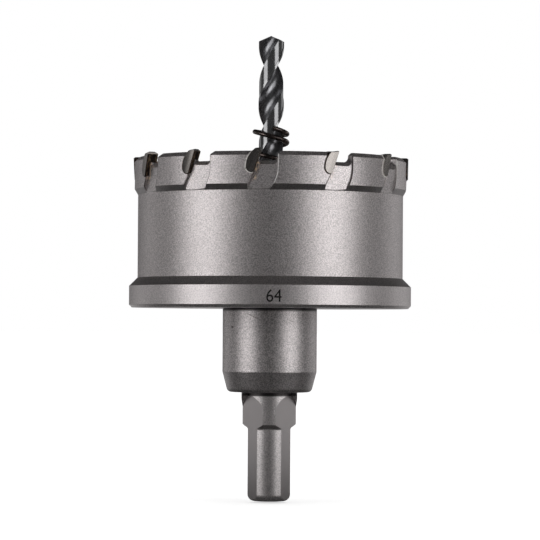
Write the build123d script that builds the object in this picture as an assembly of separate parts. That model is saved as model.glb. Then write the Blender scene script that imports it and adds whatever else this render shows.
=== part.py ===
from build123d import *
import os
from math import acos, cos, degrees, hypot, pi, radians, sin, sqrt, tan

# Carbide tipped hole saw, 64 mm cut, teeth and pilot drill upwards.
# Frame: +Z along the tool's axis, origin in the middle of the shank's end face, millimetres.
# Azimuth 0 looks out along -Y, and azimuth grows towards +X, the way the teeth cut.

# Cutting ring
cutting_diameter = 64.0
tip_overhang = 0.4          # how far the tips stand out of the crown, radially
tip_inner_overhang = 0.12   # how far they stand into the cup past its bore
crown_step = 0.8            # crown radius less barrel radius
barrel_wall = 1.35
flange_step = 1.95          # flange radius less barrel radius

# Lengths along the axis, from the shank's end upwards
shank_length = 16.9
neck_cone_height = 0.85
neck_length = 7.5
hub_taper_height = 4.7
hub_length = 19.45
cup_height = 34.7           # flange underside to rim
base_thickness = 6.0
flange_height = 5.0
flange_bevel_height = 1.95
crown_height = 7.3          # rim down to the crown's lower bevel
crown_bevel_height = 1.3

# Arbor
shank_diameter = 9.9
shank_end_radius = 1.55     # rounding of the shank's end
shank_flat_distance = 4.47  # axis to each flat
shank_flat_azimuths = (60.0, 180.0, 300.0)
neck_diameter = 12.95
neck_fillet = 0.6           # between the neck's cone and the shank
flat_mill_radius = 5.0      # end mill that cuts the flats
flat_end_gap = 0.15         # from the hub's end face down to the top of a flat
hub_diameter = 21.9
hub_end_diameter = 19.45
hub_corner_radius = 1.1
hub_shoulder_chamfer = 0.2
spigot_diameter = 14.0

# Cup edges
flange_edge_chamfer = 0.65
rim_chamfer = 0.95
rim_inner_chamfer = 0.3
floor_fillet = 1.5

# Teeth: the gaps between the leading corners, six of them, repeated round the ring
first_tooth_azimuth = -92.0
tooth_gaps = (31.0, 28.6, 28.3, 32.5, 30.5, 29.1)
gap_repeats = 2
tip_rises = (0.36, 0.63, 0.55, 0.7, 0.23, 0.4)   # tip tops above the rim, same order

# Carbide tip, seen from outside: its rake line crosses the rim at the tooth's own zero
tip_height = 4.85           # below the rim, to the bottom of the rake face
tip_rake = 19.0             # lean of the rake face, degrees
tip_width_at_rim = 1.75
tip_heel_bulge = 3.3        # furthest reach of the heel behind the leading corner
tip_heel_level = 3.55       # depth of that furthest reach below the rim
tip_foot_radius = 0.45      # corner of the rake face and the foot
tip_top_relief = 8.0
tip_side_relief = 2.0
tip_outer_bevel = (0.45, 0.2)
tip_inner_bevel = (0.9, 0.42)
braze_gap = 0.1

# Gullet and chip pocket
gullet_width = 3.85
gullet_depth = 2.15
gullet_rear_radius = 0.5    # floor corner at the rake face
gullet_front_radius = 1.3   # floor corner at the front wall
gullet_lip = 0.86           # slope from the gullet's floor out to the pocket's floor
gullet_top_chamfer = 0.65
pocket_depth = 0.72         # below the crown's surface
pocket_lead = 1.0           # the pocket's cutter stands square this far behind the corner
pocket_lean = 27.6          # lean of the pocket's lower rear wall, degrees
pocket_curve_start = 3.5    # depth below the rim where the front wall starts to curve
pocket_front_reach = 2.0    # front wall's place at the top of the barrel
pocket_edge_chamfer = 0.08

# Pilot drill
drill_diameter = 5.9
drill_length = 80.0
drill_projection = 28.7     # drill point above the rim
drill_point_angle = 135.0
drill_lead = 28.25
drill_flute_length = 46.0
drill_web = 1.3
drill_waist = 3.4           # width across the flutes
drill_margin_step = 0.14
drill_margin_width = 12.0   # degrees of the land that keep the full diameter
drill_margin_overlap = 9.0  # degrees the margin's cutting sector runs into the flute
drill_land_angle = 175.5    # land's middle at the point's foot, degrees from +X
drill_lip_lead = 21.0       # lips ahead of the land's middle, degrees
drill_point_relief = 10.0
drill_end_chamfer = 0.5
drill_bore_clearance = 0.02

# Ejector spring, wound left-handed
wire_diameter = 1.1
spring_clearance = 0.25     # coil bore to drill
spring_pitch = 5.4
spring_foot_pitch = 0.75    # closed end on the cup's floor
spring_foot_turns = 0.72
spring_top_pitch = 2.1      # free end
spring_top_turns = 1.05
spring_ramp_turns = 0.22
spring_lean = 0.78          # the free end's left side stands this much too high
spring_lean_turns = 1.75    # turns from the free end over which the lean dies out
spring_projection = 7.7     # top of the spring above the rim
spring_end_azimuth = 7.0
spring_steps = 10           # route points in a turn

# Set screw, in the hub's far side
screw_diameter = 5.0
screw_azimuth = 180.0
screw_sunk = 0.5            # socket end below the hub's surface
screw_point_chamfer = 0.8
screw_socket_flats = 2.5
screw_socket_depth = 2.5
screw_thread_clearance = 0.02
drill_flat_depth = 0.5
drill_flat_length = 8.0

# Heights and radii that follow
neck_start = shank_length + neck_cone_height
hub_bottom = neck_start + neck_length
hub_taper_top = hub_bottom + hub_taper_height
hub_top = hub_bottom + hub_length
cup_floor = hub_top + base_thickness
flange_top = hub_top + flange_height
rim = hub_top + cup_height
crown_foot = rim - crown_height
barrel_top = crown_foot - crown_bevel_height
cut_radius = cutting_diameter / 2
crown_radius = cut_radius - tip_overhang
barrel_radius = crown_radius - crown_step
cup_bore = barrel_radius - barrel_wall
flange_radius = barrel_radius + flange_step
tip_inner_radius = cup_bore - tip_inner_overhang
pocket_floor = crown_radius - pocket_depth
drill_radius = drill_diameter / 2
drill_tip = rim + drill_projection
drill_bottom = drill_tip - drill_length
coil_radius = drill_radius + spring_clearance + wire_diameter / 2
screw_level = (hub_taper_top + hub_top) / 2
overcut = 2.0               # how far cutters run past what they cut
seat_overcut = 1.2          # the same above the rim at a seat, where the heel leans in
same = 1e-6                 # lengths nearer than this are equal


def revolved(points):
    """Solid of revolution about Z from (radius, height) points."""
    outline = make_face(Plane.XZ * Polyline(*points, close=True))
    return revolve(outline, Axis.Z)


def facing(radius):
    """Plane square to azimuth 0 at a radius: x runs with the cut, y runs up."""
    return Plane.XZ.offset(radius)


def turned(solid, azimuth):
    """The solid turned about the tool's axis from azimuth 0."""
    return Rot(0, 0, azimuth) * solid


# Carbide tip: D-shaped plate with a straight rake face and a curved heel.
def rake_point(depth):
    """Point of the rake line in the tooth's plane, at a depth below the rim."""
    return (-depth * tan(radians(tip_rake)), rim - depth)


def tip_outline(rise):
    """Face of the tip in the tooth's plane, from its foot to a height above the rim."""
    foot = rake_point(tip_height)
    heel = (-tip_heel_bulge, rim - tip_heel_level)
    heel_at_rim = (-tip_width_at_rim, rim)
    lower = TangentArc(heel, foot, tangent=(0, -1))
    upper = TangentArc(heel, heel_at_rim, tangent=(0, 1))
    slant = upper % 1
    heel_top = (heel_at_rim[0] + slant.X / slant.Y * rise, rim + rise)
    edges = (
        Line(rake_point(-rise), foot)
        + lower
        + upper
        + Line(heel_at_rim, heel_top)
        + Line(heel_top, rake_point(-rise))
    )
    outline = make_face(edges)
    corner = outline.vertices().sort_by_distance(foot)[0]
    return fillet(corner, tip_foot_radius)


def carbide_tip(rise):
    """One tip at azimuth 0, ground to the cutting diameter with side and top relief."""
    plate = extrude(facing(tip_inner_radius - overcut) * tip_outline(rise),
                    cut_radius - tip_inner_radius + 2 * overcut)
    top = rim + rise
    bottom = rim - tip_height - overcut
    bevelled = make_face(Plane.YZ * Polyline(
        (-tip_inner_radius + overcut, bottom),
        (-tip_inner_radius + overcut, top - tip_inner_bevel[1]),
        (-tip_inner_radius, top - tip_inner_bevel[1]),
        (-tip_inner_radius - tip_inner_bevel[0], top),
        (-cut_radius + tip_outer_bevel[0], top),
        (-cut_radius, top - tip_outer_bevel[1]),
        (-cut_radius - overcut, top - tip_outer_bevel[1]),
        (-cut_radius - overcut, bottom),
        close=True))
    fall = radians(tip_top_relief)
    grind = extrude(bevelled, tip_heel_bulge + overcut, dir=(-cos(fall), 0, -sin(fall)))
    relief_shift = cut_radius * tan(radians(tip_side_relief))
    outer = Pos(relief_shift, 0, rim) * Cylinder(hypot(cut_radius, relief_shift), cup_height)
    inner = Pos(0, 0, rim) * Cylinder(tip_inner_radius, cup_height)
    return (plate & grind & outer) - inner


# Cutters for one tooth in the crown, at azimuth 0.
def seat_cutter():
    """Seat of a tip with its braze gap, open to the rim and to both sides of the wall."""
    outline = offset(tip_outline(seat_overcut), braze_gap)
    return extrude(facing(tip_inner_radius - overcut) * outline,
                   cut_radius - tip_inner_radius + 2 * overcut)


def gullet_corner():
    """Bevel at the top of the gullet's front wall."""
    bevel = gullet_top_chamfer
    return make_face(Polyline(
        (gullet_width - bevel, rim - 2 * bevel),
        (gullet_width + bevel, rim),
        (gullet_width + bevel, rim + overcut),
        (gullet_width - bevel, rim + overcut),
        close=True))


def gullet_outline():
    """U-shaped gullet in front of the rake face."""
    floor = rim - gullet_depth
    outline = make_face(Polyline(
        rake_point(-overcut),
        rake_point(gullet_depth),
        (gullet_width, floor),
        (gullet_width, rim + overcut),
        close=True))
    rear = outline.vertices().sort_by_distance(rake_point(gullet_depth))[0]
    outline = fillet(rear, gullet_rear_radius)
    front = outline.vertices().sort_by_distance((gullet_width, floor))[0]
    return fillet(front, gullet_front_radius)


def gullet_cutter():
    """Gullet through the wall, with its floor sloping down to the pocket's floor."""
    inner = tip_inner_radius - overcut
    through = cut_radius + overcut - inner
    slope_start = pocket_floor - gullet_lip
    reach = pocket_depth + gullet_lip + overcut
    straight = extrude(facing(inner) * gullet_outline(), through)
    corner = extrude(facing(inner) * gullet_corner(), through)
    sloped = extrude(facing(slope_start) * gullet_outline(), reach * sqrt(2), dir=(0, -1, -1))
    return straight + corner + sloped


def pocket_outline():
    """Chip pocket from the rim down past the crown's foot."""
    knee = rake_point(tip_height)
    foot_level = barrel_top - overcut
    rear_heel = (knee[0] - (knee[1] - crown_foot) * tan(radians(pocket_lean)), crown_foot)
    rear_foot = (rear_heel[0], foot_level)
    front_start = (gullet_width, rim - pocket_curve_start)
    front_foot = (pocket_front_reach, barrel_top)
    front_top = (gullet_width, rim + overcut)
    curve = TangentArc(front_start, front_foot, tangent=(0, -1))
    slant = curve % 1
    drop = (barrel_top - foot_level) / -slant.Y
    front_end = (front_foot[0] + slant.X * drop, foot_level)
    edges = (
        Line(rake_point(-overcut), knee)
        + Line(knee, rear_heel)
        + Line(rear_heel, rear_foot)
        + Line(rear_foot, front_end)
        + Line(front_end, front_foot)
        + curve
        + Line(front_start, front_top)
        + Line(front_top, rake_point(-overcut))
    )
    return make_face(edges)


def pocket_cutter():
    """Pocket with a flat floor, and a broken edge along its front wall."""
    reach = cut_radius + overcut - pocket_floor
    lead = degrees(pocket_lead / crown_radius)
    shift = Pos(pocket_lead, 0)
    walls = extrude(facing(pocket_floor) * shift * pocket_outline(), reach)
    edge_start = crown_radius - pocket_edge_chamfer
    edge = extrude(facing(edge_start) * shift * pocket_outline(), overcut, dir=(1, -1, 0))
    return turned(walls + edge, -lead)


def tooth_cutter():
    """Everything that is milled out of the crown for one tooth."""
    return seat_cutter() + gullet_cutter() + pocket_cutter()


# Cup: turned shell, then milled at each tooth.
def cutter_cup(azimuths):
    """Base plate, flange, barrel and crown in one piece."""
    shell = revolved([
        (spigot_diameter / 2, hub_top),
        (flange_radius - flange_edge_chamfer, hub_top),
        (flange_radius, hub_top + flange_edge_chamfer),
        (flange_radius, flange_top),
        (barrel_radius, flange_top + flange_bevel_height),
        (barrel_radius, barrel_top),
        (crown_radius, crown_foot),
        (crown_radius, rim - rim_chamfer),
        (crown_radius - rim_chamfer, rim),
        (cup_bore + rim_inner_chamfer, rim),
        (cup_bore, rim - rim_inner_chamfer),
        (cup_bore, cup_floor),
        (spigot_diameter / 2, cup_floor),
    ])
    floor_ring = shell.edges().filter_by(GeomType.CIRCLE).filter_by(
        lambda e: abs(e.radius - cup_bore) < same and abs(e.center().Z - cup_floor) < same)
    shell = fillet(floor_ring, floor_fillet)
    cutter = tooth_cutter()
    for azimuth in azimuths:
        shell -= turned(cutter, azimuth)
    return shell


# Arbor: turned in one piece, flats milled, then bored for the drill and the screw.
def flat_cutter():
    """Path of the end mill that cuts one shank flat at azimuth 0, round at its upper end."""
    centre = hub_bottom - flat_end_gap - flat_mill_radius
    path = Pos(0, (centre - overcut) / 2) * Rectangle(2 * flat_mill_radius, centre + overcut)
    outline = path + Pos(0, centre) * Circle(flat_mill_radius)
    return extrude(facing(shank_flat_distance) * outline, neck_diameter / 2)


def screw_bore():
    """Threaded hole of the set screw, at its nominal diameter."""
    radius = screw_diameter / 2 + screw_thread_clearance
    bore = Cylinder(radius, hub_diameter, align=(Align.CENTER, Align.CENTER, Align.MIN))
    return turned(Pos(0, 0, screw_level) * Rot(90, 0, 0) * bore, screw_azimuth)


def arbor():
    """Hub with its spigot, neck and three-flat shank."""
    blank = revolved([
        (0, 0),
        (shank_diameter / 2, 0),
        (shank_diameter / 2, shank_length),
        (neck_diameter / 2, neck_start),
        (neck_diameter / 2, hub_bottom),
        (hub_end_diameter / 2, hub_bottom),
        (hub_diameter / 2, hub_taper_top),
        (hub_diameter / 2, hub_top - hub_shoulder_chamfer),
        (hub_diameter / 2 - hub_shoulder_chamfer, hub_top),
        (spigot_diameter / 2, hub_top),
        (spigot_diameter / 2, cup_floor),
        (0, cup_floor),
    ])
    circles = blank.edges().filter_by(GeomType.CIRCLE)
    shank_end = circles.filter_by(lambda e: abs(e.center().Z) < same)
    blank = fillet(shank_end, shank_end_radius)
    circles = blank.edges().filter_by(GeomType.CIRCLE)
    neck_foot = circles.filter_by(lambda e: abs(e.center().Z - shank_length) < same)
    blank = fillet(neck_foot, neck_fillet)
    circles = blank.edges().filter_by(GeomType.CIRCLE)
    hub_corner = circles.filter_by(lambda e: abs(e.radius - hub_end_diameter / 2) < same)
    blank = fillet(hub_corner, hub_corner_radius)
    flats = [turned(flat_cutter(), azimuth) for azimuth in shank_flat_azimuths]
    depth = cup_floor - drill_bottom + overcut
    bore = Pos(0, 0, drill_bottom) * Cylinder(
        drill_radius + drill_bore_clearance, depth, align=(Align.CENTER, Align.CENTER, Align.MIN))
    return blank - flats - bore - screw_bore()


# Pilot drill: two flutes wound right-handed, split point, flat for the screw.
def drill_section():
    """Two lands with narrow margins, and the web between two round flutes."""
    cut = drill_waist / 2 / drill_radius
    distance = (drill_radius ** 2 - drill_web ** 2 / 4) / (2 * cut * drill_radius - drill_web)
    flute = Circle(distance - drill_web / 2)
    body = Circle(drill_radius - drill_margin_step)
    land_half = 90 - degrees(acos(cut))
    start = radians(land_half - drill_margin_width)
    end = radians(land_half + drill_margin_overlap)
    sector = make_face(Polyline(
        (0, 0),
        (drill_diameter * cos(start), drill_diameter * sin(start)),
        (drill_diameter * cos(end), drill_diameter * sin(end)),
        close=True))
    margin = Circle(drill_radius) & sector
    return body + margin + Rot(0, 0, 180) * margin - Pos(0, distance) * flute - Pos(0, -distance) * flute


def point_grind(side):
    """Block above one facet of the point, on side 0 or 180 degrees."""
    slope = 90 - drill_point_angle / 2
    block = Box(drill_length, drill_length, drill_length, align=(Align.CENTER, Align.CENTER, Align.MIN))
    return (Pos(0, 0, drill_tip) * Rot(0, 0, drill_land_angle + drill_lip_lead + side)
            * Rot(0, slope, 0) * Rot(drill_point_relief, 0, 0) * block)


def pilot_drill():
    """Drill from its seat in the hub up to the point."""
    flutes_bottom = drill_tip - drill_flute_length
    turn = 360 * drill_flute_length / drill_lead
    section = Rot(0, 0, drill_land_angle - turn) * drill_section()
    wound = Solid.extrude_linear_with_rotation(
        section.face(), (0, 0, 0), (0, 0, drill_flute_length), turn)
    wound = Pos(0, 0, flutes_bottom) * wound
    plain = Pos(0, 0, drill_bottom) * Cylinder(
        drill_radius, flutes_bottom - drill_bottom, align=(Align.CENTER, Align.CENTER, Align.MIN))
    plain = chamfer(plain.edges().sort_by(Axis.Z)[0], drill_end_chamfer)
    flat = Pos(0, drill_radius - drill_flat_depth + drill_radius, screw_level) * Box(
        drill_diameter, drill_diameter, drill_flat_length)
    return plain + wound - flat - point_grind(0) - point_grind(180)


# Ejector spring: round wire, open coils between closed ends.
def spring_route():
    """Route of the wire's middle, from the cup's floor to the free end."""
    height = rim + spring_projection - cup_floor - wire_diameter
    ends = spring_foot_turns * spring_foot_pitch + spring_top_turns * spring_top_pitch
    ramps = spring_ramp_turns * (spring_foot_pitch + 2 * spring_pitch + spring_top_pitch) / 2
    body_turns = (height - ends - ramps) / spring_pitch
    spans = (
        (spring_foot_turns, spring_foot_pitch, spring_foot_pitch),
        (spring_ramp_turns, spring_foot_pitch, spring_pitch),
        (body_turns, spring_pitch, spring_pitch),
        (spring_ramp_turns, spring_pitch, spring_top_pitch),
        (spring_top_turns, spring_top_pitch, spring_top_pitch),
    )
    total = sum(turns for turns, _, _ in spans)
    count = round(total * spring_steps)
    points = []
    for index in range(count + 1):
        turn = total * index / count
        level = cup_floor + wire_diameter / 2
        passed = 0.0
        for turns, low, high in spans:
            part = min(max(turn - passed, 0.0), turns)
            level += part * low + (high - low) * part ** 2 / (2 * turns)
            passed += turns
        angle = radians(spring_end_azimuth - 90) + 2 * pi * (total - turn)
        lean = min(max(spring_lean_turns - (total - turn), 0.0), 1.0)
        level -= spring_lean * lean ** 2 * (3 - 2 * lean) * cos(angle)
        points.append((coil_radius * cos(angle), coil_radius * sin(angle), level))
    return points


def ejector_spring():
    """Left-hand coil spring round the drill."""
    route = Spline(*spring_route())
    section = Plane(origin=route @ 0, z_dir=route % 0) * Circle(wire_diameter / 2)
    return sweep(section, path=route, is_frenet=True)


# Set screw: headless, hex socket, flat point on the drill's flat.
def set_screw():
    """Screw from the drill's flat to just below the hub's surface."""
    seat = drill_radius - drill_flat_depth
    length = hub_diameter / 2 - screw_sunk - seat
    body = Cylinder(screw_diameter / 2, length, align=(Align.CENTER, Align.CENTER, Align.MIN))
    rings = body.edges().filter_by(GeomType.CIRCLE)
    body = chamfer(rings.sort_by(Axis.Z)[0], screw_point_chamfer)
    socket = extrude(RegularPolygon(screw_socket_flats / 2, 6, major_radius=False), screw_socket_depth)
    body -= Pos(0, 0, length - screw_socket_depth) * socket
    placed = Pos(0, -seat, screw_level) * Rot(90, 0, 0) * body
    return turned(placed, screw_azimuth)


def tooth_azimuths():
    """Leading corner of each tooth, round the ring."""
    azimuths = []
    azimuth = first_tooth_azimuth
    for gap in tooth_gaps * gap_repeats:
        azimuths.append(azimuth)
        azimuth += gap
    return azimuths


azimuths = tooth_azimuths()
parts = {
    "cutter_cup": cutter_cup(azimuths),
    "arbor": arbor(),
    "pilot_drill": pilot_drill(),
    "ejector_spring": ejector_spring(),
    "set_screw": set_screw(),
}
for number, azimuth in enumerate(azimuths, start=1):
    rise = tip_rises[(number - 1) % len(tip_rises)]
    parts[f"carbide_tip_{number:02d}"] = turned(carbide_tip(rise), azimuth)

os.makedirs("parts", exist_ok=True)
for name, solid in parts.items():
    export_step(solid, f"parts/{name}.step")
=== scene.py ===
import math

import bpy
from mathutils import Matrix, Vector


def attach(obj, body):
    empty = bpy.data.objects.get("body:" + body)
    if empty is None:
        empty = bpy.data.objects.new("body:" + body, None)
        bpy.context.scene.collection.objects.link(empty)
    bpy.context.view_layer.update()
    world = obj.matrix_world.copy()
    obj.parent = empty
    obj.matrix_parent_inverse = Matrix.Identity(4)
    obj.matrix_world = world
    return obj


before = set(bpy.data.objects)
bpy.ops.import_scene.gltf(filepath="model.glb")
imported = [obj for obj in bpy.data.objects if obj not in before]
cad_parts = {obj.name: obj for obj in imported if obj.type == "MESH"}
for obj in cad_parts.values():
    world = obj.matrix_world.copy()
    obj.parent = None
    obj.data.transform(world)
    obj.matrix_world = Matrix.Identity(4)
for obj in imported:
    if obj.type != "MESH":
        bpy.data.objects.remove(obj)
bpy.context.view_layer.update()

# Camera: level with the lower part of the cup and 0.63 m in front of it, through a long lens.
# The tool stands upright on its shank and leans a third of a degree in the picture.
MM = 0.001
EYE = Vector((-0.03 * MM, -628 * MM, 40.1 * MM))
AIM = Vector((-0.03 * MM, 0.0, 53.6 * MM))
ROLL = math.radians(0.36)
LENS = 180.0
SENSOR = 36.0

bpy.ops.object.select_all(action="DESELECT")
bpy.ops.object.camera_add(location=EYE)
camera = bpy.context.object
facing = (AIM - EYE).to_track_quat("-Z", "Y").to_matrix()
camera.rotation_euler = (facing @ Matrix.Rotation(ROLL, 3, "Z")).to_euler()
camera.data.lens = LENS
camera.data.sensor_width = SENSOR
camera.data.clip_start = 0.01
camera.data.clip_end = 50.0
bpy.context.scene.camera = camera
bpy.context.scene.view_settings.view_transform = "Standard"

# Studio: white room and paper floor, with two upright softboxes in front at either side.
# Grey flats stand round the set and a dark card lies on the floor, out of the camera's sight,
# so that the bare steel has something darker than the room to show between the softboxes.
ROOM_LIGHT = 0.55
FLOOR_LEVEL = -0.4 * MM
FLOOR_SIZE = 40.0
FLOOR_GLOW = 0.6
FLAT_RADIUS = 1.6
FLAT_HEIGHT = 3.0
FLAT_BOTTOM = -0.5
FLAT_GREYS = ((0.0, 0.06), (0.55, 0.08), (0.69, 0.1), (0.8, 0.8), (0.87, 0.6), (1.0, 0.06))
FLAT_LEFT_SHADE = 0.7
FLAT_FADE = (0.35, 0.9)
LID_GREY = 0.012
CARD_RADIUS = 1.5
CARD_LEVEL = -0.2 * MM
CARD_GREY = 0.012
CARD_BACK_GREY = 0.6
CARD_BACK_START = (0.01, 0.15)
CARD_FAR_GREY = 0.2
CARD_FAR_START = (0.22, 0.4)
CARD_GLOW_START = (0.2, 0.4)
CARD_GLOWS = {"left": 2.8, "right": 3.5}
BOXES = {"left": (-56.5, 0.76), "right": (52.5, 0.74)}
BOX_DISTANCE = 1.1
BOX_HEIGHT = 0.62
BOX_LEVEL = 0.22
BOX_GLOW = 1.68
BOX_TARGET = Vector((0.0, 0.0, 55 * MM))


class Sock:
    """One output of a shader node, so that maths on it is written as an expression."""

    def __init__(self, finish, output):
        self.finish = finish
        self.output = output

    def math(self, operation, first, second=None):
        """A Math node of one or two values."""
        sockets = {0: first} if second is None else {0: first, 1: second}
        return self.finish.add("ShaderNodeMath", {"operation": operation}, sockets)

    def __add__(self, other):
        return self.math("ADD", self, other)

    def __sub__(self, other):
        return self.math("SUBTRACT", self, other)

    def __mul__(self, other):
        return self.math("MULTIPLY", self, other)

    def __truediv__(self, other):
        return self.math("DIVIDE", self, other)

    def __rsub__(self, other):
        return self.math("SUBTRACT", other, self)

    def __abs__(self):
        return self.math("ABSOLUTE", self)

    def larger(self, other):
        return self.math("MAXIMUM", self, other)

    def smaller(self, other):
        return self.math("MINIMUM", self, other)

    def root(self):
        return self.math("SQRT", self)

    def rise(self, low, high):
        """0 up to low, 1 from high, and smooth between them."""
        sockets = {"Value": self, "From Min": low, "From Max": high}
        return self.finish.add("ShaderNodeMapRange", {"interpolation_type": "SMOOTHSTEP"}, sockets)

    def fall(self, low, high):
        """1 up to low, 0 from high."""
        return 1.0 - self.rise(low, high)

    def band(self, low, high, edge):
        """1 from low to high, fading over the edge either side."""
        return self.rise(low - edge, low) * self.fall(high, high + edge)

    __radd__ = __add__
    __rmul__ = __mul__


class Finish:
    """A material and the nodes that make it."""

    def __init__(self, name, metallic=1.0):
        self.material = bpy.data.materials.new(name)
        self.material.use_nodes = True
        self.nodes = self.material.node_tree.nodes
        self.links = self.material.node_tree.links
        self.shader = self.nodes["Principled BSDF"]
        self.shader.inputs["Metallic"].default_value = metallic

    def put(self, socket, value):
        """Links a value to a socket, or sets the socket."""
        if isinstance(value, Sock):
            self.links.new(value.output, socket)
        elif socket.type == "RGBA":
            socket.default_value = (*value, 1.0)
        else:
            socket.default_value = value

    def set(self, name, value):
        """Sets or links one socket of the shader."""
        self.put(self.shader.inputs[name], value)

    def add(self, kind, settings=None, sockets=None, output=0):
        """A node: its settings first, then the values or links of its sockets."""
        node = self.nodes.new(kind)
        for key, value in (settings or {}).items():
            if key == "stops":
                ramp = node.color_ramp
                while len(ramp.elements) < len(value):
                    ramp.elements.new(0.5)
                for element, (place, colour) in zip(ramp.elements, value):
                    element.position = place
                    element.color = (*colour, 1.0)
            else:
                setattr(node, key, value)
        for key, value in (sockets or {}).items():
            self.put(node.inputs[key], value)
        return Sock(self, node.outputs[output])

    def place(self):
        """Object coordinates, in metres."""
        return self.add("ShaderNodeTexCoord", output="Object")

    def axes(self, vector):
        """The three numbers of a vector."""
        node = self.add("ShaderNodeSeparateXYZ", sockets={0: vector}).output.node
        return [Sock(self, output) for output in node.outputs]

    def vector(self, x, y, z):
        """A vector of three numbers."""
        return self.add("ShaderNodeCombineXYZ", sockets={0: x, 1: y, 2: z})

    def noise(self, size, detail=2.0, vector=None):
        """Noise with features of about the given size in metres."""
        sockets = {"Vector": vector or self.place(), "Scale": 1.0 / size, "Detail": detail}
        return self.add("ShaderNodeTexNoise", sockets=sockets)

    def mix(self, factor, first, second):
        """Mix of two colours."""
        sockets = {0: factor, 6: first, 7: second}
        return self.add("ShaderNodeMix", {"data_type": "RGBA"}, sockets, output=2)

    def ramp(self, value, stops):
        """Colours of a value, as (place, colour) stops."""
        return self.add("ShaderNodeValToRGB", {"stops": stops}, {0: value})

    def bump(self, height, depth):
        """Bump of a height from 0 to 1, with its depth in metres."""
        sockets = {"Height": height, "Distance": depth, "Strength": 1.0}
        return self.add("ShaderNodeBump", sockets=sockets)

    def seen(self):
        """1 where the camera, a reflection or a view through glass sees it, 0 for plain light."""
        path = self.add("ShaderNodeLightPath").output.node.outputs
        rays = [Sock(self, path[f"Is {ray} Ray"]) for ray in ("Camera", "Glossy", "Transmission")]
        return rays[0].larger(rays[1]).larger(rays[2])


class Room(Finish):
    """The world's nodes, made in the same way as a material's."""

    def __init__(self, name):
        self.world = bpy.data.worlds.new(name)
        self.world.use_nodes = True
        self.nodes = self.world.node_tree.nodes
        self.links = self.world.node_tree.links
        self.shader = self.nodes["Background"]


def for_reflections(obj):
    """The camera and plain light pass the thing by, and only reflections show it."""
    obj.visible_camera = False
    obj.visible_diffuse = False
    obj.visible_shadow = False
    obj.visible_transmission = False


def plain_grey(name, grey):
    """Card that shows as one even grey, or as greys that follow a value."""
    card = Finish(name, metallic=0.0)
    card.set("Base Color", (0.0, 0.0, 0.0))
    card.set("Specular IOR Level", 0.0)
    card.set("Emission Color", grey(card) if callable(grey) else (grey, grey, grey))
    card.set("Emission Strength", 1.0)
    return card.material


def flat_greys(card):
    """Darkest in front, behind the camera, lighter towards the back, and dark higher up."""
    x, y, z = card.axes(card.place())
    turn = y / (2 * FLAT_RADIUS) + 0.5
    greys = card.ramp(turn, [(place, (grey, grey, grey)) for place, grey in FLAT_GREYS])
    left = x.fall(-FLAT_RADIUS * 0.6, 0.0) * y.rise(FLAT_RADIUS * 0.5, FLAT_RADIUS * 0.8)
    greys = card.mix(left * FLAT_LEFT_SHADE, greys, (0.0, 0.0, 0.0))
    low, high = (level - FLAT_BOTTOM - FLAT_HEIGHT / 2 for level in FLAT_FADE)
    return card.mix(z.rise(low, high), greys, (LID_GREY, LID_GREY, LID_GREY))


def card_greys(card):
    """Dark in front of the tool, grey behind it, and glowing bright in front of each softbox's foot, as
    painted light.
    """
    x, y, z = card.axes(card.place())
    greys = card.mix(y.rise(*CARD_BACK_START), (CARD_GREY,) * 3, (CARD_BACK_GREY,) * 3)
    greys = card.mix(y.rise(*CARD_FAR_START), greys, (CARD_FAR_GREY,) * 3)
    for side, (azimuth, width) in BOXES.items():
        angle = math.radians(azimuth)
        ahead = x * math.sin(angle) - y * math.cos(angle)
        aside = abs(x * math.cos(angle) + y * math.sin(angle))
        spread = width / 2 / BOX_DISTANCE
        foot = (aside - ahead * spread).fall(-0.04, 0.0) * ahead.rise(*CARD_GLOW_START)
        greys = card.mix(foot, greys, (CARD_GLOWS[side],) * 3)
    return greys


room = Room("white room")
room.set("Color", (1.0, 1.0, 1.0))
room.set("Strength", room.seen().larger(ROOM_LIGHT))
bpy.context.scene.world = room.world

bpy.ops.object.select_all(action="DESELECT")
bpy.ops.mesh.primitive_plane_add(size=FLOOR_SIZE, location=(0.0, 0.0, FLOOR_LEVEL))
floor = bpy.context.object
floor.name = "paper_floor"
paper = Finish("white paper", metallic=0.0)
paper.set("Base Color", (0.9, 0.9, 0.9))
paper.set("Roughness", 0.9)
paper.set("Specular IOR Level", 0.0)
paper.set("Emission Color", paper.mix(paper.seen(), (0.0, 0.0, 0.0), (1.0, 1.0, 1.0)))
paper.set("Emission Strength", FLOOR_GLOW)
floor.data.materials.append(paper.material)

bpy.ops.object.select_all(action="DESELECT")
bpy.ops.mesh.primitive_cylinder_add(vertices=96, radius=FLAT_RADIUS, depth=FLAT_HEIGHT,
                                    end_fill_type="NOTHING",
                                    location=(0.0, 0.0, FLAT_BOTTOM + FLAT_HEIGHT / 2))
bpy.context.object.name = "flats"
bpy.context.object.data.materials.append(plain_grey("grey flats", flat_greys))
bpy.ops.mesh.primitive_circle_add(vertices=96, radius=FLAT_RADIUS, fill_type="NGON",
                                  location=(0.0, 0.0, FLAT_BOTTOM + FLAT_HEIGHT))
bpy.context.object.name = "lid"
bpy.context.object.data.materials.append(plain_grey("grey lid", LID_GREY))
bpy.ops.mesh.primitive_circle_add(vertices=96, radius=CARD_RADIUS, fill_type="NGON",
                                  location=(0.0, 0.0, CARD_LEVEL))
bpy.context.object.name = "dark_card"
bpy.context.object.data.materials.append(plain_grey("dark card", card_greys))
for name in ("flats", "lid", "dark_card"):
    for_reflections(bpy.data.objects[name])

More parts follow.
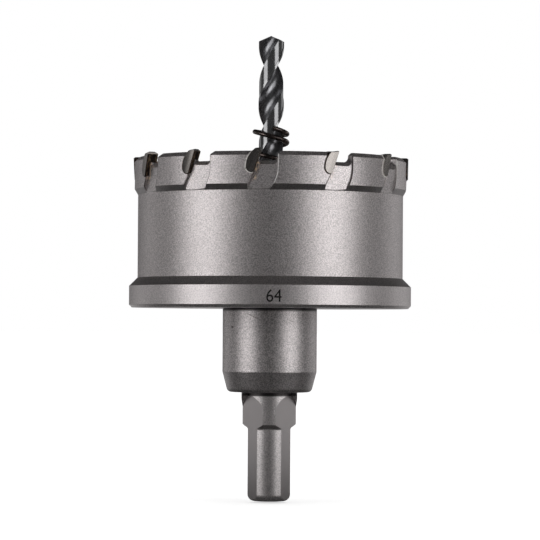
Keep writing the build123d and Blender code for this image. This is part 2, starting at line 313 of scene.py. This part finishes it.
for side, (azimuth, width) in BOXES.items():
    angle = math.radians(azimuth)
    spot = Vector((math.sin(angle) * BOX_DISTANCE, -math.cos(angle) * BOX_DISTANCE, BOX_LEVEL))
    bpy.ops.object.light_add(type="AREA", location=spot)
    lamp = bpy.context.object
    lamp.name = f"softbox_{side}"
    lamp.rotation_euler = (BOX_TARGET - spot).to_track_quat("-Z", "Y").to_euler()
    lamp.data.shape = "RECTANGLE"
    lamp.data.size = width
    lamp.data.size_y = BOX_HEIGHT
    lamp.data.energy = BOX_GLOW * math.pi * width * BOX_HEIGHT
    lamp.visible_camera = False

# Cup: turned from one steel blank, milled at each tooth and then bead blasted outside.
# The blasting leaves an even satin grey with a fine sparkle, and the inside still shows its turning.
# Braze has run out in front of some tips; some pockets' front edges carry a painted highlight, and a dark
# line runs along the pockets' edges.
CUP_DARK = (0.415, 0.386, 0.386)
CUP_LIGHT = (0.765, 0.716, 0.716)
STEEL_METALLIC = 0.92
GRAIN_SIZE = 0.24 * MM
CLOUD_SIZE = 7.0 * MM
CUP_BORE = 29.45 * MM
CUP_FLOOR = 50.7 * MM
CROWN_RADIUS = 31.6 * MM
CROWN_FOOT = 72.1 * MM
# Levels of the flange's bevel and the crown's foot bevel, and how far each is painted dark as painted
# shade.
SHADED_BEVELS = ((49.7 * MM, 51.6 * MM, 0.38), (70.8 * MM, 72.05 * MM, 0.66))
KNEE = (-1.67 * MM, 74.55 * MM)
KNEE_SLOPE = math.tan(math.radians(27.6))
RIM = 79.4 * MM
TOOTH_GAPS = (31.0, 28.6, 28.3, 32.5, 30.5, 29.1) * 2
FIRST_TOOTH = -92.0
RAKE_SLOPE = math.tan(math.radians(19.0))
POCKET_LEAD = 1.0 * MM
POCKET_WIDTH = 3.85 * MM
POCKET_REACH = 6.0 * MM
POCKET_CURVE_START = 75.9 * MM
POCKET_CURVE_RADIUS = 7.955 * MM
# How strongly each tooth's pocket front edge carries the painted highlight.
EDGE_HIGHLIGHT_LOOKS = (0.0, 0.0, 0.0, 1.0, 0.0, 0.8) * 2
LINE_LOOKS = (0.5, 0.6, 0.7, 0.1, 1.0, 0.4) * 2
SPILL_LOOKS = (0.2, 0.9, 0.15, 1.0, 0.25, 0.5) * 2


def round_axis(finish):
    """Distance from the tool's axis, and the height."""
    x, y, z = finish.axes(finish.place())
    return (x * x + y * y).root(), z


def blasted(finish, smooth=0.0):
    """Bead blasted steel: speckled grey, a rough sheen and a fine tooth, less where smooth is 1."""
    grain = finish.noise(GRAIN_SIZE)
    clouds = finish.noise(CLOUD_SIZE)
    speckle = grain.rise(0.34, 0.66)
    if isinstance(smooth, Sock):
        speckle = speckle * (1.0 - smooth) + smooth * 0.42
    speckle = speckle + (clouds - 0.5) * 0.12
    return speckle, grain


def tooth_axes(finish, azimuth):
    """Along the cut and outwards, from the plane through the tool's axis at an azimuth, and the height."""
    x, y, z = finish.axes(finish.place())
    angle = math.radians(azimuth)
    along = x * math.cos(angle) + y * math.sin(angle)
    outward = x * math.sin(angle) - y * math.cos(angle)
    return along, outward, z


tooth_azimuths = []
azimuth = FIRST_TOOTH
for gap in TOOTH_GAPS:
    tooth_azimuths.append(azimuth)
    azimuth += gap

cup_steel = Finish("blasted cup steel", metallic=STEEL_METALLIC)
radius, level = round_axis(cup_steel)
inside = radius.fall(CUP_BORE + 0.02 * MM, CUP_BORE + 0.08 * MM)
inside = inside * level.rise(CUP_FLOOR - 0.5 * MM, CUP_FLOOR - 0.1 * MM)
speckle, grain = blasted(cup_steel)
rings = cup_steel.noise(1.0, 3.0, cup_steel.vector(radius / (0.22 * MM), level / (0.22 * MM), 0.0))
colour = cup_steel.mix(speckle, CUP_DARK, CUP_LIGHT)
turned = cup_steel.mix(rings.rise(0.3, 0.7), (0.3, 0.28, 0.27), (0.5, 0.47, 0.46))
colour = cup_steel.mix(inside, colour, turned)
# The flange is painted lighter than the barrel, as painted light.
flange_painted_light = level.fall(SHADED_BEVELS[0][0] - 0.1 * MM, SHADED_BEVELS[0][0])
colour = cup_steel.mix(flange_painted_light * 0.25, colour, (0.95, 0.9, 0.9))
drop = (POCKET_CURVE_START - level).larger(0.0) / POCKET_CURVE_RADIUS
curve = (1.0 - drop * drop).larger(0.0)
front = (1.0 - curve.root()) * -POCKET_CURVE_RADIUS + POCKET_WIDTH
on_crown = radius.rise(CROWN_RADIUS - 0.35 * MM, CROWN_RADIUS - 0.15 * MM)
on_crown = on_crown * level.rise(CROWN_FOOT - 0.1 * MM, CROWN_FOOT)
in_pocket = radius.rise(CUP_BORE + 1.0 * MM, CUP_BORE + 1.3 * MM)
in_pocket = in_pocket * level.rise(CROWN_FOOT, CROWN_FOOT + 1.5 * MM)
ragged = (cup_steel.noise(0.45 * MM) - 0.5) * (0.3 * MM)
edge_highlight, line, spill, stain, pocket = [None] * 5
for number, azimuth in enumerate(tooth_azimuths):
    behind_corner = azimuth - math.degrees(POCKET_LEAD / CROWN_RADIUS)
    along, outward, _ = tooth_axes(cup_steel, behind_corner)
    along = along - POCKET_LEAD
    near = outward.rise(0.0, 1.0 * MM) * abs(along).fall(POCKET_REACH, POCKET_REACH + 0.5 * MM)
    edge = abs(along - front + ragged * 0.5)
    past = along - KNEE[0] + (KNEE[1] - level).smaller(KNEE[1] - CROWN_FOOT) * KNEE_SLOPE
    rear = abs(past) + level.rise(KNEE[1], KNEE[1] + 0.1 * MM)
    milled = past.rise(-0.03 * MM, 0.03 * MM) * (along - front).fall(-0.03 * MM, 0.03 * MM) * near
    ahead = along - (level - RIM) * RAKE_SLOPE
    patches = cup_steel.vector(ahead / (0.3 * MM), level / (1.1 * MM), number * 7.0)
    grown = cup_steel.noise(1.0, vector=patches)
    run = ahead.band(0.1 * MM, 0.9 * MM, 0.35 * MM) * near * SPILL_LOOKS[number]
    parts = (edge.fall(0.06 * MM, 0.14 * MM) * near * EDGE_HIGHLIGHT_LOOKS[number],
             edge.smaller(rear * 0.6).fall(0.06 * MM, 0.2 * MM) * near * LINE_LOOKS[number],
             run * grown.rise(0.52, 0.59), run * (1.0 - grown).rise(0.5, 0.58), milled)
    edge_highlight, line, spill, stain, pocket = (
        old.larger(new) if old else new
        for old, new in zip((edge_highlight, line, spill, stain, pocket), parts))
# The flange's bevel and the crown's foot bevel are painted near black, as painted shade.
for low, high, share in SHADED_BEVELS:
    bevel_shade = level.band(low, high, 0.05 * MM) * (1.0 - inside) * (1.0 - pocket)
    colour = cup_steel.mix(bevel_shade * share, colour, (0.12, 0.11, 0.11))
colour = cup_steel.mix(line * on_crown, colour, (0.05, 0.04, 0.038))
colour = cup_steel.mix(stain * in_pocket * 0.55, colour, (0.2, 0.13, 0.1))
colour = cup_steel.mix(spill * in_pocket * 0.85, colour, (0.85, 0.62, 0.42))
# A near-white painted highlight along some pockets' front edges, where a glint of light falls.
colour = cup_steel.mix(edge_highlight * on_crown, colour, (0.95, 0.93, 0.9))
cup_steel.set("Base Color", colour)
dull = (edge_highlight * on_crown * 0.6).larger(spill * in_pocket * 0.5).larger(inside * 0.4)
cup_steel.set("Metallic", STEEL_METALLIC - dull)
cup_steel.set("Roughness", 0.36 + grain * 0.12 - inside * 0.06)
relief = grain * (1.0 - inside) + rings * inside * 0.5
cup_steel.set("Normal", cup_steel.bump(relief, 0.035 * MM))
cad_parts["cutter_cup"].data.materials[0] = cup_steel.material

# Arbor: hub, neck and shank turned from one bar and blasted like the cup.
# The three flats were milled afterwards, so they are smoother, and the drill is held in its bore.
FLAT_DISTANCE = 4.47 * MM
FLAT_AZIMUTHS = (60.0, 180.0, 300.0)
HUB_BOTTOM = 25.25 * MM
HUB_TAPER_TOP = 29.95 * MM
HUB_TOP = 44.7 * MM
NECK_RADIUS = 6.475 * MM
NECK_CONE = (16.9 * MM, 17.75 * MM)
ARBOR_DARK = (0.39, 0.364, 0.364)
ARBOR_LIGHT = (0.8, 0.75, 0.75)
SCRATCH = ((-5.2, 43.4), (-2.1, 41.9))
NICK = ((4.4, 41.9), (5.4, 41.6))
PIT = (-8.6, 40.3)

arbor_steel = Finish("blasted arbor steel", metallic=STEEL_METALLIC)
x, y, level = arbor_steel.axes(arbor_steel.place())


def scratched(ends, width):
    """A straight scratch on the front, between two points given across and up in millimetres."""
    start, end = (Vector(point) * MM for point in ends)
    run = end - start
    length = run.length
    run.normalize()
    along = (x - start.x) * run.x + (level - start.y) * run.y
    aside = abs((x - start.x) * run.y - (level - start.y) * run.x)
    return aside.fall(0.0, width) * along.band(0.0, length, width) * y.fall(-1.0 * MM, 0.0)


milled = None
for azimuth in FLAT_AZIMUTHS:
    angle = math.radians(azimuth)
    distance = x * math.sin(angle) - y * math.cos(angle)
    flat = distance.band(FLAT_DISTANCE - 0.02 * MM, FLAT_DISTANCE + 0.02 * MM, 0.01 * MM)
    milled = milled.larger(flat) if milled else flat
milled = milled * level.fall(HUB_BOTTOM - 0.02 * MM, HUB_BOTTOM)
speckle, grain = blasted(arbor_steel, milled)
colour = arbor_steel.mix(speckle, ARBOR_DARK, ARBOR_LIGHT)
# The round parts of the neck and shank are painted lighter, as painted light from below.
painted_light_below_hub = level.fall(HUB_BOTTOM - 1.0 * MM, HUB_BOTTOM)
colour = arbor_steel.mix(painted_light_below_hub * (1.0 - milled) * 0.3, colour, (1.0, 0.96, 0.95))
# The hub's lower taper is painted dark, as painted shade.
taper_shade = level.band(HUB_BOTTOM + 0.1 * MM, HUB_TAPER_TOP, 0.05 * MM)
colour = arbor_steel.mix(taper_shade * 0.25, colour, (0.12, 0.11, 0.11))
# The cone between neck and shank is painted near black, as painted shade.
cone_shade = level.band(*NECK_CONE, 0.05 * MM) * (1.0 - milled)
colour = arbor_steel.mix(cone_shade * 0.6, colour, (0.08, 0.075, 0.075))
shade = level.rise(HUB_TOP - 0.95 * MM, HUB_TOP - 0.35 * MM)
radius, level = round_axis(arbor_steel)
on_neck = radius.fall(NECK_RADIUS, NECK_RADIUS + 0.1 * MM)
shade = shade.larger(on_neck * level.band(HUB_BOTTOM - 0.7 * MM, HUB_BOTTOM, 0.35 * MM))
spot = (x - PIT[0] * MM) * (x - PIT[0] * MM) + (level - PIT[1] * MM) * (level - PIT[1] * MM)
pit = (spot / (MM * MM)).fall(0.02, 0.12) * y.fall(-1.0 * MM, 0.0)
marks = scratched(SCRATCH, 0.13 * MM).larger(scratched(NICK, 0.14 * MM)).larger(pit)
colour = arbor_steel.mix(shade * 0.93, colour, (0.03, 0.027, 0.027))
colour = arbor_steel.mix(marks * 0.75, colour, (0.1, 0.085, 0.08))
arbor_steel.set("Base Color", colour)
arbor_steel.set("Roughness", 0.36 + grain * 0.12 - milled * 0.08)
arbor_steel.set("Normal", arbor_steel.bump(grain * (1.0 - milled), 0.03 * MM))
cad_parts["arbor"].data.materials[0] = arbor_steel.material

# Size mark: the cutting diameter in plain figures, burnt into the flange's rim by laser.
# The burnt steel is near black, and the figures are laid on the rim's curve, just proud of it.
MARK_TEXT = "64"
MARK_HEIGHT = 2.95 * MM
MARK_AZIMUTH = 1.5
MARK_LEVEL = 45.9 * MM
MARK_DEPTH = 0.05 * MM
MARK_PROUD = 0.02 * MM
MARK_NARROWING = 0.9
FLANGE_RADIUS = 32.75 * MM
CAP_SHARE = 0.73

bpy.ops.object.select_all(action="DESELECT")
bpy.ops.object.text_add()
mark = bpy.context.object
mark.name = "size_mark"
mark.data.body = MARK_TEXT
mark.data.align_x = "CENTER"
mark.data.size = MARK_HEIGHT / CAP_SHARE
mark.data.extrude = MARK_DEPTH
bpy.ops.object.convert(target="MESH")
for vertex in mark.data.vertices:
    angle = math.radians(MARK_AZIMUTH) + vertex.co.x * MARK_NARROWING / FLANGE_RADIUS
    out = FLANGE_RADIUS + MARK_PROUD - MARK_DEPTH + vertex.co.z
    vertex.co = (out * math.sin(angle), -out * math.cos(angle), MARK_LEVEL + vertex.co.y)
burnt = Finish("laser burnt mark")
burnt.set("Base Color", burnt.mix(burnt.noise(0.3 * MM), (0.03, 0.026, 0.026), (0.07, 0.06, 0.06)))
burnt.set("Roughness", 0.6)
mark.data.materials.clear()
mark.data.materials.append(burnt.material)
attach(mark, "root")

# Cutting tips: twelve plates of sintered hard metal, brazed into seats and ground to size.
# The ground outer faces are smooth and dark, and the rake faces keep a brown skin from the brazing.
TIP_GREY = (0.24, 0.222, 0.21)
# How far each tip's ground faces are painted lighter or darker, as painted light and shade.
TIP_LIGHT_AND_SHADE = (0.8, 0.9, 0.3, 0.6, 1.45, 1.9) * 2
TIP_RISES = (0.36, 0.63, 0.55, 0.7, 0.23, 0.4) * 2

for number, azimuth in enumerate(tooth_azimuths, start=1):
    hard_metal = Finish(f"hard metal {number:02d}", metallic=STEEL_METALLIC)
    along, outward, level = tooth_axes(hard_metal, azimuth)
    behind = (level - RIM) * RAKE_SLOPE - along
    rake = behind.fall(0.03 * MM, 0.07 * MM)
    stain = hard_metal.noise(0.8 * MM)
    runs = hard_metal.vector(outward / (0.35 * MM), level / (2.2 * MM), 0.0)
    streak = hard_metal.noise(1.0, vector=runs)
    skin = hard_metal.mix(stain.rise(0.4, 0.7), (0.045, 0.036, 0.032), (0.13, 0.095, 0.07))
    skin = hard_metal.mix(streak.band(0.58, 0.64, 0.04) * 0.7, skin, (0.5, 0.37, 0.24))
    # Each tip's ground faces are painted lighter or darker, one by one, as painted light and shade;
    # towards the rake edge this painted shading fades back to the plain grey.
    tip_shading = TIP_LIGHT_AND_SHADE[number - 1]
    ground = [grey * tip_shading for grey in TIP_GREY]
    edge = behind.fall(0.5 * MM, 1.4 * MM) * 0.6
    ground = hard_metal.mix(edge, ground, TIP_GREY)
    specks = hard_metal.noise(0.25 * MM).rise(0.5, 0.75)
    ground = hard_metal.mix(specks * 0.18, ground, (0.5, 0.47, 0.44))
    top = RIM + TIP_RISES[number - 1] * MM
    # The tip's top is painted near black, as painted shade.
    painted_top_shade = level.rise(top - 0.35 * MM, top - 0.2 * MM) * outward.fall(31.7 * MM, 31.9 * MM)
    colour = hard_metal.mix(painted_top_shade * 0.85, hard_metal.mix(rake, ground, skin), (0.06, 0.055, 0.052))
    hard_metal.set("Base Color", colour)
    hard_metal.set("Roughness", 0.22 + rake * 0.2 + stain * 0.06)
    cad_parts[f"carbide_tip_{number:02d}"].data.materials[0] = hard_metal.material

# Braze seams: the alloy that holds each tip in its seat, squeezed out round the heel and foot.
# It dried dark brown with brassy patches on most teeth, and stayed clean on two of each six.
SEAM_WIDTH = 0.3 * MM
RIM_CHAMFER = 0.95 * MM
SEAM_PROUD = 0.1 * MM
SEAM_SETBACK = 0.05 * MM
SEAM_MIDDLE = 3.0
SEAM_ROUNDING = 0.12 * MM
SEAM_LOOKS = (0.0, 0.0, 0.0, 1.0, 0.0, 1.0) * 2

brazes = []
for look in (0.0, 1.0):
    braze = Finish(f"brazing alloy {'clean' if look else 'dark'}", metallic=STEEL_METALLIC - look * 0.5)
    patch = braze.noise(0.7 * MM, detail=3.0).rise(0.56 - look * 0.28, 0.68 - look * 0.22)
    bright = (0.9, 0.86, 0.82) if look else (0.26, 0.17, 0.11)
    braze.set("Base Color", braze.mix(patch, (0.05, 0.036, 0.03), bright))
    braze.set("Roughness", 0.5 - patch * 0.15)
    brazes.append(braze.material)
for number, azimuth in enumerate(tooth_azimuths, start=1):
    seam = bpy.data.objects.new(f"braze_seam_{number:02d}",
                                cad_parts[f"carbide_tip_{number:02d}"].data.copy())
    bpy.context.collection.objects.link(seam)
    bpy.ops.object.select_all(action="DESELECT")
    seam.select_set(True)
    bpy.context.view_layer.objects.active = seam
    bpy.ops.object.mode_set(mode="EDIT")
    bpy.ops.mesh.select_all(action="SELECT")
    bpy.ops.mesh.remove_doubles(threshold=0.002 * MM)
    bpy.ops.mesh.normals_make_consistent(inside=False)
    bpy.ops.object.mode_set(mode="OBJECT")
    swell = seam.modifiers.new("swell", "DISPLACE")
    swell.mid_level = 0.0
    swell.strength = SEAM_WIDTH
    bpy.ops.object.modifier_apply(modifier=swell.name)
    angle = math.radians(azimuth)
    out = Vector((math.sin(angle), -math.cos(angle), 0.0))
    cut = Vector((math.cos(angle), math.sin(angle), 0.0))
    middle = math.radians(azimuth - SEAM_MIDDLE)
    out_middle = Vector((math.sin(middle), -math.cos(middle), 0.0))
    crown = out_middle * (CROWN_RADIUS + SEAM_PROUD)
    corner = Vector((0.0, 0.0, RIM - RIM_CHAMFER)) + crown
    trims = (
        (crown, out_middle),
        (corner, (out_middle + Vector((0.0, 0.0, 1.0))).normalized()),
        (Vector((0.0, 0.0, RIM + SEAM_PROUD)), Vector((0.0, 0.0, 1.0))),
        (out * CUP_BORE, -out),
        (Vector((0.0, 0.0, RIM)) - cut * SEAM_SETBACK,
         Vector((cut.x, cut.y, -RAKE_SLOPE)).normalized()),
    )
    bpy.ops.object.mode_set(mode="EDIT")
    for place, normal in trims:
        bpy.ops.mesh.select_all(action="SELECT")
        bpy.ops.mesh.bisect(plane_co=place, plane_no=normal, use_fill=True, clear_outer=True,
                            threshold=0.0001 * MM)
    bpy.ops.object.mode_set(mode="OBJECT")
    rounding = seam.modifiers.new("rounding", "BEVEL")
    rounding.width = SEAM_ROUNDING
    rounding.segments = 3
    rounding.limit_method = "ANGLE"
    bpy.ops.object.modifier_apply(modifier=rounding.name)
    bpy.ops.object.shade_smooth_by_angle(angle=math.radians(35))
    seam.data.materials.clear()
    seam.data.materials.append(brazes[int(SEAM_LOOKS[number - 1])])
    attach(seam, "root")

# Pilot drill: hardened tool steel, polished dark, with two wound flutes and bright ground margins.
# It stands in the arbor's bore, where the set screw clamps it.
drill_steel = Finish("dark polished drill", metallic=STEEL_METALLIC)
radius, level = round_axis(drill_steel)
margin = radius.rise(2.86 * MM, 2.92 * MM)
flute = radius.fall(2.3 * MM, 2.8 * MM)
haze = drill_steel.noise(1.4 * MM)
grinding = drill_steel.noise(1.0, vector=drill_steel.vector(0.0, 0.0, level / (0.12 * MM)))
colour = drill_steel.mix(haze, (0.24, 0.24, 0.245), (0.32, 0.32, 0.325))
colour = drill_steel.mix(flute * 0.4, colour, (0.17, 0.17, 0.19))
colour = drill_steel.mix(margin * 0.3, colour, (0.5, 0.5, 0.5))
drill_steel.set("Base Color", drill_steel.mix(grinding.rise(0.5, 0.8) * 0.1, colour, (0.2, 0.2, 0.2)))
drill_steel.set("Roughness", 0.12 + haze * 0.06 + flute * 0.13)
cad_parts["pilot_drill"].data.materials[0] = drill_steel.material

# Ejector spring: round steel wire wound left-handed, loose round the drill, to push the slug out.
# It is blackened in oil, and its high spots have rubbed to brown.
wire = Finish("oil black wire", metallic=STEEL_METALLIC)
rub = wire.noise(1.1 * MM)
wire.set("Base Color", wire.mix(rub.rise(0.42, 0.7), (0.07, 0.058, 0.055), (0.22, 0.175, 0.16)))
wire.set("Roughness", 0.2 + rub * 0.12)
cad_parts["ejector_spring"].data.materials[0] = wire.material

# Set screw: headless, with a hexagon socket, of hardened steel in black oxide.
# It is screwed into the hub's far side, down to the drill's flat.
oxide = Finish("black oxide", metallic=0.8)
oxide.set("Base Color", oxide.mix(oxide.noise(0.5 * MM), (0.06, 0.06, 0.063), (0.13, 0.13, 0.135)))
oxide.set("Roughness", 0.4)
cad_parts["set_screw"].data.materials[0] = oxide.material

# Screw thread: the last turns of the fine thread that was tapped into the hub's cross hole.
# It is of the hub's own steel, left dark by the tapping oil.
THREAD_LEVEL = 37.325 * MM
THREAD_PITCH = 0.25 * MM
THREAD_TURNS = 2
THREAD_END = 10.62 * MM
THREAD_PROFILE = ((2.54, -0.11), (2.54, 0.11), (2.3, 0.0))
THREAD_STEPS = 48

bpy.ops.object.select_all(action="DESELECT")
bpy.ops.mesh.primitive_circle_add(vertices=3, radius=1.0 * MM, fill_type="NOTHING")
thread = bpy.context.object
thread.name = "screw_thread"
for vertex, (out, up) in zip(thread.data.vertices, THREAD_PROFILE):
    vertex.co = (out * MM, 0.0, up * MM)
winding = thread.modifiers.new("winding", "SCREW")
winding.axis = "Z"
winding.screw_offset = THREAD_PITCH
winding.iterations = THREAD_TURNS
winding.steps = THREAD_STEPS
winding.render_steps = THREAD_STEPS
bpy.ops.object.modifier_apply(modifier=winding.name)
reach = THREAD_END - THREAD_PITCH * THREAD_TURNS - THREAD_PROFILE[1][1] * MM
for vertex in thread.data.vertices:
    vertex.co = (vertex.co.x, reach + vertex.co.z, THREAD_LEVEL - vertex.co.y)
bpy.ops.object.mode_set(mode="EDIT")
bpy.ops.mesh.select_all(action="SELECT")
bpy.ops.mesh.normals_make_consistent(inside=False)
bpy.ops.object.mode_set(mode="OBJECT")
tapped = Finish("tapped steel", metallic=STEEL_METALLIC)
tapped.set("Base Color", tapped.mix(tapped.noise(0.3 * MM), (0.2, 0.18, 0.17), (0.4, 0.37, 0.35)))
tapped.set("Roughness", 0.35)
thread.data.materials.append(tapped.material)
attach(thread, "root")
